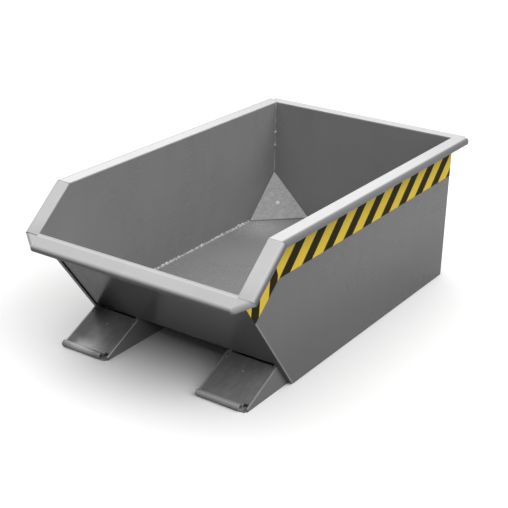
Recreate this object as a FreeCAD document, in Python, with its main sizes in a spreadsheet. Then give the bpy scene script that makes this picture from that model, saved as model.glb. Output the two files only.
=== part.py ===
import FreeCAD, Part
import math
import operator
import os
import Sketcher

# A skip for a forklift: a sheet steel tub that tips forwards on two fork pockets.
# X runs across, the tub empties towards -Y, Z is up from the ground, millimetres.
# The origin is on the ground, under the middle of the skip.

SIZES = (
    ("tub_width", 600, "across the outside of the side walls"),
    ("tub_height", 426, "top of the rim above the ground"),
    ("rear_reach", 523.4, "middle to the outside of the rear wall"),
    ("chamfer_reach", 419.6, "middle to the top of the sloping nose edge"),
    ("lip_reach", 538.6, "middle to the bottom of the sloping nose edge"),
    ("lip_height", 324, "bottom of the sloping nose edge"),
    ("foot_reach", 299.6, "middle to the front foot of the skirt"),
    ("skirt_gap", 2, "ground to the skirt"),
    ("floor_top", 72, "inside floor of the tub"),
    ("sheet", 3, "tub sheet"),
    ("return_width", 9, "folded front edge of the side wall"),
    ("rim_width", 42, "rim beyond the wall"),
    ("rim_lip", 14, "turned down edge of the rim"),
    ("rim_radius", 11, "bend of the rim, outside"),
    ("rim_notch", 20, "notch in the rear corners of the rim"),
    ("rim_corner", 10, "rounding beside the notch, seen from above"),
    ("gusset_run", 132, "corner plate along each wall"),
    ("gusset_rise", 126, "corner plate up the corner"),
    ("stud_radius", 6, "fastener head on a corner plate"),
    ("stud_rise", 4, "fastener head on a corner plate"),
    ("tape_drop", 44, "rim to the upper edge of the tape"),
    ("tape_width", 70, "hazard tape"),
    ("tape_sheet", 0.4, "hazard tape"),
    ("side_gap", 1, "folded front edge to the pocket beside it"),
    ("pocket_width", 147, "outside of a pocket"),
    ("rest_gap", 3, "top of a pocket to the tub floor"),
    ("pocket_tail", 28, "rear wall to the rear end of a pocket"),
    ("pocket_setback", 75, "front wall to the front of the pocket top"),
    ("plate", 4, "base plate"),
    ("toe_reach", 486.6, "middle to the front of the rolled lip"),
    ("toe_setback", 13, "front of the rolled lip to that of a side plate"),
    ("toe_height", 8, "front of a toe side plate"),
    ("toe_ahead", 5, "top of the toe slope in front of the front wall"),
    ("roll_radius", 9, "rolled lip"),
    ("roll_bore", 5, "radius inside the rolled lip"),
    ("roll_notch", 14, "rolled lip to the right side plate"),
    ("ramp_sheet", 3, "toe ramp"),
    ("ramp_recess", 0.6, "toe ramp below the side plates"),
    ("ramp_ahead", 4, "upper end of the ramp in front of the front wall"),
    ("ramp_stud", 37, "top of the toe slope to the fastener"),
    ("ramp_stud_radius", 3, "fastener head on a ramp"),
    ("ramp_stud_rise", 2, "fastener head on a ramp"),
    ("hinge_ahead", 11, "hinge axis in front of the front wall"),
    ("hinge_drop", 10.1, "hinge axis below the toe slope, square to it"),
    ("hinge_radius", 5, "hinge rod"),
    ("hinge_fit", 0.05, "hinge rod to its bore"),
    ("eye_radius", 10, "hinge lug round the rod"),
    ("lug_thick", 6, "hinge lug"),
    ("lug_gap", 1, "hinge lug to what is beside it"),
    ("lug_setback", 53, "front wall to the rear end of a lug"),
    ("lug_depth", 10, "rear end of a lug"),
    ("slot_length", 12, "ramp slot beyond the hinge axis"),
    ("tube_side", 40, "cross tube"),
    ("tube_wall", 3, "cross tube"),
    ("tube_rise", 16, "cross tube above the ground"),
    ("tube_front", 140, "middle to the front of the front cross tube"),
    ("tube_inset", 8, "rear wall to the rear cross tube"),
    ("pad_length", 60, "rest pad"),
    ("pad_width", 40, "rest pad"),
    ("pad_gap", 0.3, "rest pad to the tub floor"),
    ("pad_inset", 68, "ends of the pocket top to the rest pads"),
    ("rib_thick", 5, "rib under the tub floor"),
    ("rib_depth", 24, "rib under the tub floor"),
    ("rib_gap", 6, "rib to the pockets"),
    ("rib_pitch", 150, "between ribs"),
    ("hook_thick", 10, "latch hook"),
    ("hook_gap", 0.5, "beside the latch hook"),
    ("hook_half", 14, "latch hook arm, half its width"),
    ("hook_back", 6, "latch hook behind its mouth"),
    ("hook_crown", 12, "latch hook above its mouth"),
    ("hook_open_degrees", 50, "turn from open to locked"),
    ("hook_reach", 64, "latch pivot to the striker"),
    ("striker_radius", 7, "latch striker"),
    ("striker_head", 12, "latch striker's head, radius"),
    ("striker_head_rise", 6, "latch striker's head"),
    ("mouth_gap", 0.8, "latch hook round the striker"),
    ("mouth_drop", 2, "latch hook under the striker"),
    ("bracket_front", 12, "latch bracket, front to rear"),
    ("bolt_radius", 6, "latch pivot bolt"),
    ("bolt_head", 10, "latch pivot bolt's head, radius"),
    ("bolt_head_rise", 6, "latch pivot bolt's head"),
    ("knob_radius", 9, "latch knob"),
    ("knob_length", 18, "latch knob"),
    ("pin_radius", 7, "fork drop pin"),
    ("pin_gap", 0.5, "fork drop pin in its holes"),
    ("pin_tail", 15, "rear wall to the fork drop pins"),
    ("pin_flange", 11, "fork drop pin's flange, radius"),
    ("pin_flange_rise", 5, "fork drop pin's flange"),
    ("pin_lift", 1, "ground to the tip of a fork drop pin"),
    ("pin_neck", 14, "flange to the cross handle of a drop pin"),
    ("pin_handle", 60, "cross handle of a drop pin"),
    ("pin_handle_radius", 5, "cross handle of a drop pin"),
    ("overrun", 5, "cuts beyond the face they pass"),
)


class Size:
    """A size that holds its value and its formula in cells of the sheet."""

    def __init__(self, value, text):
        self.value = float(value)
        self.text = text

    def join(self, work, mark, first, second):
        first, second = (v if isinstance(v, Size) else Size(v, repr(v)) for v in (first, second))
        return Size(work(first.value, second.value), f"({first.text} {mark} {second.text})")

    def __add__(self, other):
        return self.join(operator.add, "+", self, other)

    def __radd__(self, other):
        return self.join(operator.add, "+", other, self)

    def __sub__(self, other):
        return self.join(operator.sub, "-", self, other)

    def __rsub__(self, other):
        return self.join(operator.sub, "-", other, self)

    def __mul__(self, other):
        return self.join(operator.mul, "*", self, other)

    def __truediv__(self, other):
        return self.join(operator.truediv, "/", self, other)

    def __neg__(self):
        return self.join(operator.sub, "-", 0, self)


def root(size):
    return Size(math.sqrt(size.value), f"sqrt({size.text})")


doc = FreeCAD.newDocument("tipping_skip")
sheet = doc.addObject("Spreadsheet::Sheet", "dims")
for row, (alias, number, meaning) in enumerate(SIZES, start=1):
    sheet.set(f"A{row}", meaning)
    sheet.set(f"B{row}", str(number))
    sheet.setAlias(f"B{row}", alias)
doc.recompute()
dim = {alias: Size(sheet.get(alias), f"dims.{alias}") for alias, number, meaning in SIZES}
zero = Size(0, "0")
nodes = []


def bind(thing, **sizes):
    """Ties properties of an object to sizes; a double underscore stands for a dot."""
    for name, size in sizes.items():
        thing.setExpression(name.replace("__", "."), size.text)


def place(thing, x, y, z):
    bind(thing, Placement__Base__x=x, Placement__Base__y=y, Placement__Base__z=z)


def node(name, thing):
    """Names a finished sub-part."""
    thing.Label = name
    nodes.append(thing)
    return thing


def box(name, x, y, z):
    """A block between two places on each axis."""
    block = doc.addObject("Part::Box", name)
    bind(block, Length=x[1] - x[0], Width=y[1] - y[0], Height=z[1] - z[0])
    place(block, x[0], y[0], z[0])
    return block


TURNS = {
    "x": FreeCAD.Rotation(FreeCAD.Vector(0, 1, 0), 90),
    "y": FreeCAD.Rotation(FreeCAD.Vector(1, 0, 0), -90),
    "z": FreeCAD.Rotation(),
}


def rod(name, axis, start, radius, length):
    """A cylinder from a starting point along +X, +Y or +Z."""
    cylinder = doc.addObject("Part::Cylinder", name)
    cylinder.Placement = FreeCAD.Placement(FreeCAD.Vector(), TURNS[axis])
    bind(cylinder, Radius=radius, Height=length)
    place(cylinder, *start)
    return cylinder


def cut(name, base, tool):
    result = doc.addObject("Part::Cut", name)
    result.Base, result.Tool = base, tool
    return result


def fuse(name, *shapes):
    result = doc.addObject("Part::MultiFuse", name)
    result.Shapes = list(shapes)
    return result


def group(name, *shapes):
    result = doc.addObject("Part::Compound", name)
    result.Links = list(shapes)
    return result


def body(name):
    return doc.addObject("PartDesign::Body", name)


def outline(owner, plane, points, offset):
    """A closed outline on one of the body's planes, every corner tied to its two sizes."""
    sketch = owner.newObject("Sketcher::SketchObject", owner.Name + "_outline")
    role = plane + "_Plane"
    support = next(item for item in owner.Origin.OriginFeatures if item.Role == role)
    sketch.AttachmentSupport = [(support, "")]
    sketch.MapMode = "FlatFace"
    bind(sketch, AttachmentOffset__Base__z=offset)
    corners = [FreeCAD.Vector(right.value, up.value, 0) for right, up in points]
    count = len(corners)
    for index in range(count):
        sketch.addGeometry(Part.LineSegment(corners[index], corners[(index + 1) % count]), False)
    for index in range(count):
        sketch.addConstraint(Sketcher.Constraint("Coincident", index, 2, (index + 1) % count, 1))
    for index, (right, up) in enumerate(points):
        for kind, size in (("DistanceX", right), ("DistanceY", up)):
            number = sketch.addConstraint(Sketcher.Constraint(kind, -1, 1, index, 1, size.value))
            sketch.setExpression(f"Constraints[{number}]", size.text)
    return sketch


def pad(owner, plane, points, offset, length):
    """Adds a plate of the outline's shape to a body."""
    feature = owner.newObject("PartDesign::Pad", owner.Name + "_pad")
    feature.Profile = outline(owner, plane, points, offset)
    bind(feature, Length=length)
    return feature


def plate(name, plane, points, offset, length):
    owner = body(name)
    pad(owner, plane, points, offset, length)
    return owner


def rounded(owner, radius, on_edge):
    """Rounds the edges of a body whose ends both pass the test."""
    doc.recompute()
    base = owner.Tip
    names = [
        f"Edge{number}"
        for number, edge in enumerate(base.Shape.Edges, start=1)
        if len(edge.Vertexes) == 2 and all(on_edge(corner.Point) for corner in edge.Vertexes)
    ]
    feature = owner.newObject("PartDesign::Fillet", owner.Name + "_bend")
    feature.Base = (base, names)
    bind(feature, Radius=radius)
    return feature


def across(sign, near, far):
    """Start and length along X of a piece that lies from near to far on one side."""
    return (near if sign > 0 else -far), far - near


SIDES = (("left", -1), ("right", 1))
RIBS = 2
NEAR = 0.01
ramp_foot_share = 2 / 3

half = dim["tub_width"] / 2
gauge = dim["sheet"]
inside = half - gauge
rim_out = half + dim["rim_width"]
rim_top = dim["tub_height"]
rear = dim["rear_reach"]
rear_in = rear - gauge
rear_out = rear + dim["rim_width"]
floor_top = dim["floor_top"]
floor_under = floor_top - gauge

# The sloping nose edge runs from the end of the level rim down to the front lip.
nose_run = dim["lip_reach"] - dim["chamfer_reach"]
nose_drop = rim_top - dim["lip_height"]
nose_slant = root(nose_run * nose_run + nose_drop * nose_drop)
nose_bend = nose_drop / (nose_slant + nose_run)


def nose_top(depth):
    """The corner at the top of the sloping edge, on a line a depth below the rim."""
    return depth * nose_bend - dim["chamfer_reach"], rim_top - depth


def nose_foot(depth):
    """The bottom end of the sloping edge, square to it, a depth below the rim."""
    y = depth * nose_drop / nose_slant - dim["lip_reach"]
    return y, dim["lip_height"] - depth * nose_run / nose_slant


# The front of the tub leans out from the foot of the skirt to the lip.
lip_y, lip_z = nose_foot(gauge)
front_run = -lip_y - dim["foot_reach"]
front_rise = lip_z - dim["skirt_gap"]
front_slant = root(front_run * front_run + front_rise * front_rise)


def front_y(z, layers):
    """Front edge of the side wall at a height, or a number of sheets behind it."""
    lean = (z - dim["skirt_gap"]) * front_run / front_rise
    return gauge * layers * front_slant / front_rise - dim["foot_reach"] - lean


def nose_end(depth):
    """The end of the nose rail, in line with the front wall, a depth below the rim."""
    skew = (front_run * nose_run - front_rise * nose_drop) / (front_run * nose_drop + front_rise * nose_run)
    slide = depth * skew / nose_slant
    y, z = nose_foot(depth)
    return y + slide * nose_run, z + slide * nose_drop


# The front rail lies square to the front wall and passes through the bottom of the nose edge.
lip_inset = (dim["lip_reach"] + front_y(dim["lip_height"], 2)) * front_rise / front_slant
front_rim = dim["lip_height"] + lip_inset * front_run / front_slant


def front_rail_point(out, down):
    """A point of the front rail: out from the wall's inner face, then down along the wall."""
    y = front_y(front_rim, 2) - out * front_rise / front_slant
    z = front_rim - out * front_run / front_slant
    return y + down * front_run / front_slant, z - down * front_rise / front_slant


# The tub's sheets: two side walls with skirts, a rear wall, a floor and a leaning front wall.
for side, sign in SIDES:
    wall = body(side + "_side_wall")
    low = dim["skirt_gap"]
    profile = [
        (front_y(low, 0), low),
        (rear, low),
        (rear, rim_top - gauge),
        nose_top(gauge),
        (lip_y, lip_z),
    ]
    start, length = across(sign, inside, half)
    pad(wall, "YZ", profile, start, length)
    high = dim["lip_height"] - dim["rim_lip"]
    fold = [
        (front_y(low, 0), low),
        (front_y(low, 1), low),
        (front_y(high, 1), high),
        (front_y(high, 0), high),
    ]
    start, length = across(sign, inside - dim["return_width"], inside)
    pad(wall, "YZ", fold, start, length)
    node(side + "_side_wall", wall)

level = (floor_under, floor_top)
node("floor_plate", box("floor", (-inside, inside), (front_y(floor_under, 1), rear_in), level))
node("rear_wall", box("rear", (-inside, inside), (rear_in, rear), (floor_under, rim_top - gauge)))

front_profile = [
    (front_y(floor_top, 1), floor_top),
    (front_y(floor_top, 2), floor_top),
    front_rail_point(zero, gauge),
    front_rail_point(gauge, gauge),
]
node("front_wall", plate("front", "YZ", front_profile, -inside, inside * 2))

# The rim: folded rails, mitred where the level rails meet and notched at the rear corners.
flange = rim_out - inside


def rim_corner(name, sign):
    """What a notched rear corner leaves off, seen from above, with a rounding at each end."""
    notch, radius, beyond = dim["rim_notch"], dim["rim_corner"], dim["overrun"]
    low, high = rim_top - dim["rim_lip"] - beyond, rim_top + beyond

    def block(piece, x, y, size):
        start, length = across(sign, x - size, x + beyond)
        return box(f"{name}_{piece}", (start, start + length), (y - size, y + beyond), (low, high))

    pieces = [block("notch", rim_out, rear_out, notch)]
    for end, x, y in (("rear", rim_out - notch, rear_out), ("side", rim_out, rear_out - notch)):
        centre = x - radius if sign > 0 else radius - x
        curve = rod(f"{name}_{end}_curve", "z", (centre, y - radius, low), radius, high - low)
        pieces.append(cut(f"{name}_{end}_edge", block(end, x, y, radius), curve))
    return fuse(name, *pieces)


def mitre(owner, points):
    """Cuts a rail off along its mitre, seen from above."""
    feature = owner.newObject("PartDesign::Pocket", owner.Name + "_mitre")
    low = rim_top - dim["rim_lip"] - dim["overrun"]
    feature.Profile = outline(owner, "XY", points, low)
    feature.Reversed = True
    bind(feature, Length=dim["rim_lip"] + dim["overrun"] * 2)


def bend(owner, edge_at):
    """Rounds the inner edge of a folded rail, and the outer one by a sheet more."""
    rounded(owner, dim["rim_radius"] - gauge, edge_at(gauge))
    rounded(owner, dim["rim_radius"], edge_at(zero))


def rail_edge(sign, depth, height):
    """A test for the long edge of a level side rail, a depth inside its outer faces."""
    x, z = sign * (rim_out - depth).value, height.value
    return lambda point: abs(point.x - x) < NEAR and abs(point.z - z) < NEAR


def nose_edge(sign, depth):
    """A test for the long edge of a sloping nose rail, a depth inside its outer faces."""
    x = sign * (rim_out - depth).value
    top_y, top_z = nose_top(depth)

    def on_edge(point):
        drop = (top_y.value - point.y) * nose_drop.value / nose_run.value
        return abs(point.x - x) < NEAR and abs(top_z.value - drop - point.z) < NEAR

    return on_edge


corners = {}
for side, sign in SIDES:
    corners[side] = rim_corner(side + "_rim_corner", sign)

for side, sign in SIDES:
    rail = body(side + "_rail_body")
    for depth, near in ((gauge, inside), (dim["rim_lip"], rim_out - gauge)):
        profile = [(rear_out, rim_top), nose_top(zero), nose_top(depth), (rear_out, rim_top - depth)]
        start, length = across(sign, near, rim_out)
        pad(rail, "YZ", profile, start, length)
    bend(rail, lambda depth: rail_edge(sign, depth, rim_top - depth))
    edges = [inside, inside, rim_out] if sign > 0 else [-inside, -inside, -rim_out]
    mitre(rail, list(zip(edges, (rear_in, rear_out, rear_out))))
    node(side + "_rim_rail", cut(side + "_rail_cut", rail, corners[side]))

    nose = body(side + "_nose_body")
    for depth, near in ((gauge, inside), (dim["rim_lip"], rim_out - gauge)):
        profile = [nose_top(zero), nose_end(zero), nose_end(depth), nose_top(depth)]
        start, length = across(sign, near, rim_out)
        pad(nose, "YZ", profile, start, length)
    bend(nose, lambda depth: nose_edge(sign, depth))
    node(side + "_nose_rail", nose)

rear_rail = body("rear_rail_body")
rear_profile = [
    (rear_in, rim_top),
    (rear_out, rim_top),
    (rear_out, rim_top - dim["rim_lip"]),
    (rear_out - gauge, rim_top - dim["rim_lip"]),
    (rear_out - gauge, rim_top - gauge),
    (rear_in, rim_top - gauge),
]
pad(rear_rail, "YZ", rear_profile, -rim_out, rim_out * 2)


def rear_edge(depth):
    y, z = rear_out - depth, rim_top - depth
    return lambda point: abs(point.y - y.value) < NEAR and abs(point.z - z.value) < NEAR


bend(rear_rail, rear_edge)
for edges in ([inside, rim_out, rim_out], [-inside, -rim_out, -rim_out]):
    mitre(rear_rail, list(zip(edges, (rear_in, rear_out, rear_in))))
rear_cut = cut("rear_rail_left_cut", rear_rail, corners["left"])
node("rear_rim_rail", cut("rear_rail_cut", rear_cut, corners["right"]))

front_rail = body("front_rail_body")
front_rail_profile = [
    front_rail_point(zero, zero),
    front_rail_point(flange, zero),
    front_rail_point(flange, dim["rim_lip"]),
    front_rail_point(flange - gauge, dim["rim_lip"]),
    front_rail_point(flange - gauge, gauge),
    front_rail_point(zero, gauge),
]
pad(front_rail, "YZ", front_rail_profile, -inside, inside * 2)


def front_edge(depth):
    y, z = front_rail_point(flange - depth, depth)
    return lambda point: abs(point.y - y.value) < NEAR and abs(point.z - z.value) < NEAR


bend(front_rail, front_edge)
node("front_rim_rail", front_rail)

# A folded cap closes each front corner of the rim, from the front rail to the nose rail.
down = FreeCAD.Vector(0, front_run.value, -front_rise.value).normalize()
for side, sign in SIDES:
    places = (
        (inside, nose_foot(zero)),
        (inside, front_rail_point(flange, zero)),
        (rim_out, nose_foot(zero)),
    )
    points = [FreeCAD.Vector(sign * x.value, y.value, z.value) for x, (y, z) in places]
    triangle = Part.Face(Part.makePolygon(points + points[:1]))
    edge = (points[2] - points[1]).normalize()
    inward = points[0] - points[1]
    inward = (inward - edge * inward.dot(edge)).normalize()
    hollow = triangle.translated((inward + down) * gauge.value).extrude(down * dim["rim_lip"].value)
    cap = doc.addObject("Part::Feature", side + "_cap")
    folded = triangle.extrude(down * dim["rim_lip"].value).cut(hollow).Solids[0]
    for layers, radius in ((1, dim["rim_radius"] - gauge), (0, dim["rim_radius"])):
        middle = Part.Vertex((points[1] + points[2]) / 2 + (inward + down) * gauge.value * layers)
        bent = min(folded.Edges, key=lambda item: item.distToShape(middle)[0])
        folded = folded.makeFillet(radius.value, [bent])
    cap.Shape = folded
    node(side + "_rim_cap", cap)

# Corner plates close the rear corners, each with one fastener head in its middle.
gusset_studs = []
for side, sign in SIDES:
    wall_x, back_y = sign * inside.value, rear_in.value
    run, rise = dim["gusset_run"].value, dim["gusset_rise"].value
    low_z = floor_top.value
    points = [
        FreeCAD.Vector(wall_x, back_y, low_z + rise),
        FreeCAD.Vector(wall_x, back_y - run, low_z),
        FreeCAD.Vector(wall_x - sign * run, back_y, low_z),
    ]
    normal = FreeCAD.Vector(-sign * rise, -rise, run).normalize()
    face = Part.Face(Part.makePolygon(points + points[:1]))
    gusset = doc.addObject("Part::Feature", side + "_gusset")
    gusset.Shape = face.extrude(normal * gauge.value)
    node(side + "_corner_gusset", gusset)
    head = doc.addObject("Part::Cylinder", side + "_gusset_stud")
    bind(head, Radius=dim["stud_radius"], Height=dim["stud_rise"])
    middle = (points[0] + points[1] + points[2]) / len(points) + normal * gauge.value
    head.Placement = FreeCAD.Placement(middle, FreeCAD.Rotation(FreeCAD.Vector(0, 0, 1), normal))
    gusset_studs.append(head)
node("gusset_studs", group("gusset_stud_group", *gusset_studs))

# Hazard tape runs under the rim and down the sloping nose, cut at the wall's front edge.
def tape_end(depth):
    """Where a line a depth below the sloping edge meets the wall's front edge."""
    top_y, top_z = nose_top(depth)
    lean = front_run / front_rise
    slope = nose_drop / nose_run
    reach = (top_y - front_y(top_z, 0)) / (1 + lean * slope)
    return top_y - reach, top_z - reach * slope


upper, lower = dim["tape_drop"], dim["tape_drop"] + dim["tape_width"]
level_run = [nose_top(upper), nose_top(lower), (rear, rim_top - lower), (rear, rim_top - upper)]
nose_run_tape = [nose_top(upper), tape_end(upper), tape_end(lower), nose_top(lower)]
for side, sign in SIDES:
    start, length = across(sign, half, half + dim["tape_sheet"])
    lengths = [
        plate(f"{side}_tape_{part}", "YZ", points, start, length)
        for part, points in (("level", level_run), ("nose", nose_run_tape))
    ]
    node(side + "_hazard_tape", group(side + "_tape_group", *lengths))

# The base: a fork pocket on each side, ending at the front in a toe with a ramp.
thick = dim["plate"]
height = floor_under - dim["rest_gap"]
pocket_wide = dim["pocket_width"]
pocket_clear = pocket_wide - thick * 2
inner_x = inside - dim["return_width"] - dim["side_gap"] - pocket_wide
front_foot = front_y(floor_under, 1)
pocket_front = front_foot + dim["pocket_setback"]
pocket_rear = rear + dim["pocket_tail"]
pin_y = rear + dim["pin_tail"]
tube_rear = rear - dim["tube_inset"]
toe_front = -dim["toe_reach"]
toe_end = toe_front + dim["toe_setback"]
toe_top = front_foot - dim["toe_ahead"]
toe_run = toe_top - toe_end
toe_rise = height - dim["toe_height"]
toe_slant = root(toe_run * toe_run + toe_rise * toe_rise)
floor_front = toe_front + dim["roll_radius"] * 2 + thick * 2


def slope_z(y, depth):
    """Height of a line parallel to the toe slope, a depth below it."""
    return height + (y - toe_top) * toe_rise / toe_run - depth * toe_slant / toe_run


hinge_y = front_foot - dim["hinge_ahead"]
hinge_z = slope_z(hinge_y, dim["hinge_drop"])


def side_plate(name, x):
    """A long side plate whose front end slopes down."""
    profile = [
        (toe_end, zero),
        (pocket_rear, zero),
        (pocket_rear, height),
        (toe_top, height),
        (toe_end, dim["toe_height"]),
    ]
    return plate(name, "YZ", profile, x, thick)


def ramp(name, x):
    """The toe's ramp: a sloping plate that ends in a rolled lip, slotted for the hinge lugs."""
    head_y, foot_y = front_foot - dim["ramp_ahead"], toe_front + dim["roll_radius"] * ramp_foot_share
    deep = dim["ramp_recess"] + dim["ramp_sheet"]
    profile = [
        (head_y, slope_z(head_y, dim["ramp_recess"])),
        (foot_y, slope_z(foot_y, dim["ramp_recess"])),
        (foot_y, slope_z(foot_y, deep)),
        (head_y, slope_z(head_y, deep)),
    ]
    flat = plate(name + "_flat", "YZ", profile, x, pocket_clear)
    roll_y = toe_front + dim["roll_radius"]
    roll = rod(name + "_roll", "x", (x, roll_y, dim["roll_radius"]), dim["roll_radius"],
               pocket_clear - dim["roll_notch"])
    bore = rod(name + "_bore", "x", (x - dim["overrun"], roll_y, dim["roll_radius"]), dim["roll_bore"],
               pocket_clear + dim["overrun"] * 2)
    slots = [box(name + "_notch", (x + pocket_clear - dim["roll_notch"], x + pocket_clear + dim["overrun"]),
                 (toe_front - dim["overrun"], floor_front), (zero, height))]
    for number, lug_x in enumerate(lug_places(x)):
        slots.append(box(f"{name}_slot_{number}",
                         (lug_x - dim["lug_gap"], lug_x + dim["lug_thick"] + dim["lug_gap"]),
                         (hinge_y - dim["slot_length"], head_y + dim["overrun"]),
                         (hinge_z - dim["eye_radius"], height + dim["overrun"])))
    solid = cut(name + "_rolled", fuse(name + "_joined", flat, roll), bore)
    return cut(name + "_slotted", solid, fuse(name + "_slots", *slots))


def lug_places(x):
    """Where the two hinge lugs start, beside the side plates of a pocket."""
    return x + dim["lug_gap"], x + pocket_clear - dim["lug_gap"] - dim["lug_thick"]


def lug(name, x):
    """A hinge lug: an eye round the rod and an arm to the underside of the tub's floor."""
    eye = dim["eye_radius"]
    profile = [
        (front_foot, floor_under),
        (hinge_y - eye / 2, hinge_z + eye / 2),
        (hinge_y + eye / 2, hinge_z - eye / 2),
        (front_foot + dim["lug_setback"], floor_under - dim["lug_depth"]),
        (front_foot + dim["lug_setback"], floor_under),
    ]
    arm = plate(name + "_arm", "YZ", profile, x, dim["lug_thick"])
    ring = rod(name + "_ring", "x", (x, hinge_y, hinge_z), eye, dim["lug_thick"])
    hole = rod(name + "_hole", "x", (x - dim["overrun"], hinge_y, hinge_z),
               dim["hinge_radius"] + dim["hinge_fit"], dim["lug_thick"] + dim["overrun"] * 2)
    return cut(name + "_bored", fuse(name + "_solid", arm, ring), hole)


def pin_hole(name, x):
    low = -dim["overrun"]
    return rod(name, "z", (x, pin_y, low), dim["pin_radius"] + dim["pin_gap"],
               height + dim["overrun"] * 2)


ramp_studs = []
rest_pads = []
for side, sign in SIDES:
    left_x = across(sign, inner_x, inner_x + pocket_wide)[0]
    clear_x, far_x = left_x + thick, left_x + pocket_wide - thick
    middle_x = left_x + pocket_wide / 2
    plates = [(left_x, "outer"), (far_x, "inner")] if sign < 0 else [(left_x, "inner"), (far_x, "outer")]
    for x, which in plates:
        node(f"{side}_{which}_pocket_plate", side_plate(f"{side}_{which}_plate", x))
    tab_x = far_x - dim["roll_notch"] + dim["lug_gap"]
    floor_profile = [
        (clear_x, floor_front),
        (tab_x, floor_front),
        (tab_x, toe_front + thick),
        (far_x, toe_front + thick * 2),
        (far_x, pocket_rear),
        (clear_x, pocket_rear),
    ]
    pocket_floor = plate(side + "_floor_flat", "XY", floor_profile, zero, thick)
    floor_hole = pin_hole(side + "_floor_hole", middle_x)
    node(side + "_pocket_floor", cut(side + "_floor_cut", pocket_floor, floor_hole))
    top = box(side + "_top_flat", (clear_x, far_x), (pocket_front, pocket_rear),
              (height - thick, height))
    node(side + "_pocket_top", cut(side + "_top_cut", top, pin_hole(side + "_top_hole", middle_x)))
    node(side + "_toe_ramp", ramp(side + "_ramp", clear_x))
    node(side + "_hinge_rod", rod(side + "_rod", "x", (clear_x, hinge_y, hinge_z), dim["hinge_radius"],
                                  pocket_clear))
    lugs = [lug(f"{side}_lug_{number}", x) for number, x in enumerate(lug_places(clear_x))]
    node(side + "_hinge_lugs", group(side + "_lug_group", *lugs))

    stud = doc.addObject("Part::Cylinder", side + "_ramp_stud")
    bind(stud, Radius=dim["ramp_stud_radius"], Height=dim["ramp_stud_rise"])
    normal = FreeCAD.Vector(0, -toe_rise.value, toe_run.value)
    stud.Placement = FreeCAD.Placement(FreeCAD.Vector(), FreeCAD.Rotation(FreeCAD.Vector(0, 0, 1), normal))
    stud_y = toe_top - dim["ramp_stud"]
    place(stud, middle_x, stud_y, slope_z(stud_y, dim["ramp_recess"]))
    ramp_studs.append(stud)
    pad_places = (pocket_front + dim["pad_inset"], rear_in - dim["pad_inset"] - dim["pad_length"])
    for number, pad_y in enumerate(pad_places):
        rest_pads.append(box(f"{side}_pad_{number}",
                             (middle_x - dim["pad_width"] / 2, middle_x + dim["pad_width"] / 2),
                             (pad_y, pad_y + dim["pad_length"]), (height, floor_under - dim["pad_gap"])))
node("ramp_studs", group("ramp_stud_group", *ramp_studs))
node("rest_pads", group("rest_pad_group", *rest_pads))

# Two square tubes join the pockets.
for name, y in (("front", -dim["tube_front"]), ("rear", tube_rear - dim["tube_side"])):
    wall = dim["tube_wall"]
    low = dim["tube_rise"]
    outer = box(name + "_tube_outer", (-inner_x, inner_x), (y, y + dim["tube_side"]),
                (low, low + dim["tube_side"]))
    bore = box(name + "_tube_bore", (-inner_x - dim["overrun"], inner_x + dim["overrun"]),
               (y + wall, y + dim["tube_side"] - wall), (low + wall, low + dim["tube_side"] - wall))
    node(name + "_cross_tube", cut(name + "_tube", outer, bore))

# Ribs stiffen the tub's floor between the pockets.
ribs = []
rib_x = inner_x - dim["rib_gap"]
for number in range(RIBS):
    y = dim["rib_pitch"] * number
    ribs.append(box(f"rib_{number}", (-rib_x, rib_x), (y, y + dim["rib_thick"]),
                    (floor_under - dim["rib_depth"], floor_under)))
node("floor_ribs", group("rib_group", *ribs))

# The latch: a hook on the base swings up to hold a striker on the tub's rear wall.
pivot_z = dim["tube_rise"] + dim["tube_side"] / 2
bracket_rear = tube_rear + dim["bracket_front"]
hook_front = bracket_rear + dim["hook_gap"]
hook_rear = hook_front + dim["hook_thick"]
hook_half = dim["hook_half"]
bolt_hole = dim["bolt_radius"] + dim["hinge_fit"]
bracket = box("bracket_block", (-hook_half * 2, hook_half * 2), (tube_rear, bracket_rear),
              (dim["tube_rise"], dim["tube_rise"] + dim["tube_side"]))
bracket_hole = rod("bracket_hole", "y", (zero, tube_rear - dim["overrun"], pivot_z), bolt_hole,
                   dim["bracket_front"] + dim["overrun"] * 2)
node("latch_bracket", cut("bracket", bracket, bracket_hole))
bolt_shank = rod("bolt_shank", "y", (zero, tube_rear, pivot_z), dim["bolt_radius"],
                 hook_rear + dim["hook_gap"] - tube_rear)
bolt_top = rod("bolt_top", "y", (zero, hook_rear + dim["hook_gap"], pivot_z), dim["bolt_head"],
               dim["bolt_head_rise"])
node("latch_bolt", fuse("bolt", bolt_shank, bolt_top))

mouth = dim["striker_radius"] + dim["mouth_gap"]
mouth_low = dim["hook_reach"] - mouth - dim["mouth_drop"]
mouth_high = dim["hook_reach"] + mouth
hook_profile = [
    (-hook_half, -hook_half),
    (mouth + dim["hook_back"], -hook_half),
    (mouth + dim["hook_back"], mouth_high + dim["hook_crown"]),
    (-hook_half, mouth_high + dim["hook_crown"]),
    (-hook_half, mouth_high),
    (mouth, mouth_high),
    (mouth, mouth_low),
    (-hook_half, mouth_low),
]
hook_flat = plate("hook_flat", "XZ", hook_profile, zero, dim["hook_thick"])
hook_hole = rod("hook_hole", "y", (zero, -dim["hook_thick"] - dim["overrun"], zero), bolt_hole,
                dim["hook_thick"] + dim["overrun"] * 2)
hook = cut("hook", hook_flat, hook_hole)
knob = rod("knob", "y", (zero, zero, mouth_low / 2), dim["knob_radius"], dim["knob_length"])
for name, piece in (("latch_hook", hook), ("latch_knob", group("knob_group", knob))):
    piece.Placement = FreeCAD.Placement(FreeCAD.Vector(), FreeCAD.Rotation(FreeCAD.Vector(0, 1, 0), 1))
    bind(piece, Placement__Rotation__Angle=dim["hook_open_degrees"])
    place(piece, zero, hook_rear, pivot_z)
    node(name, piece)

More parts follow.
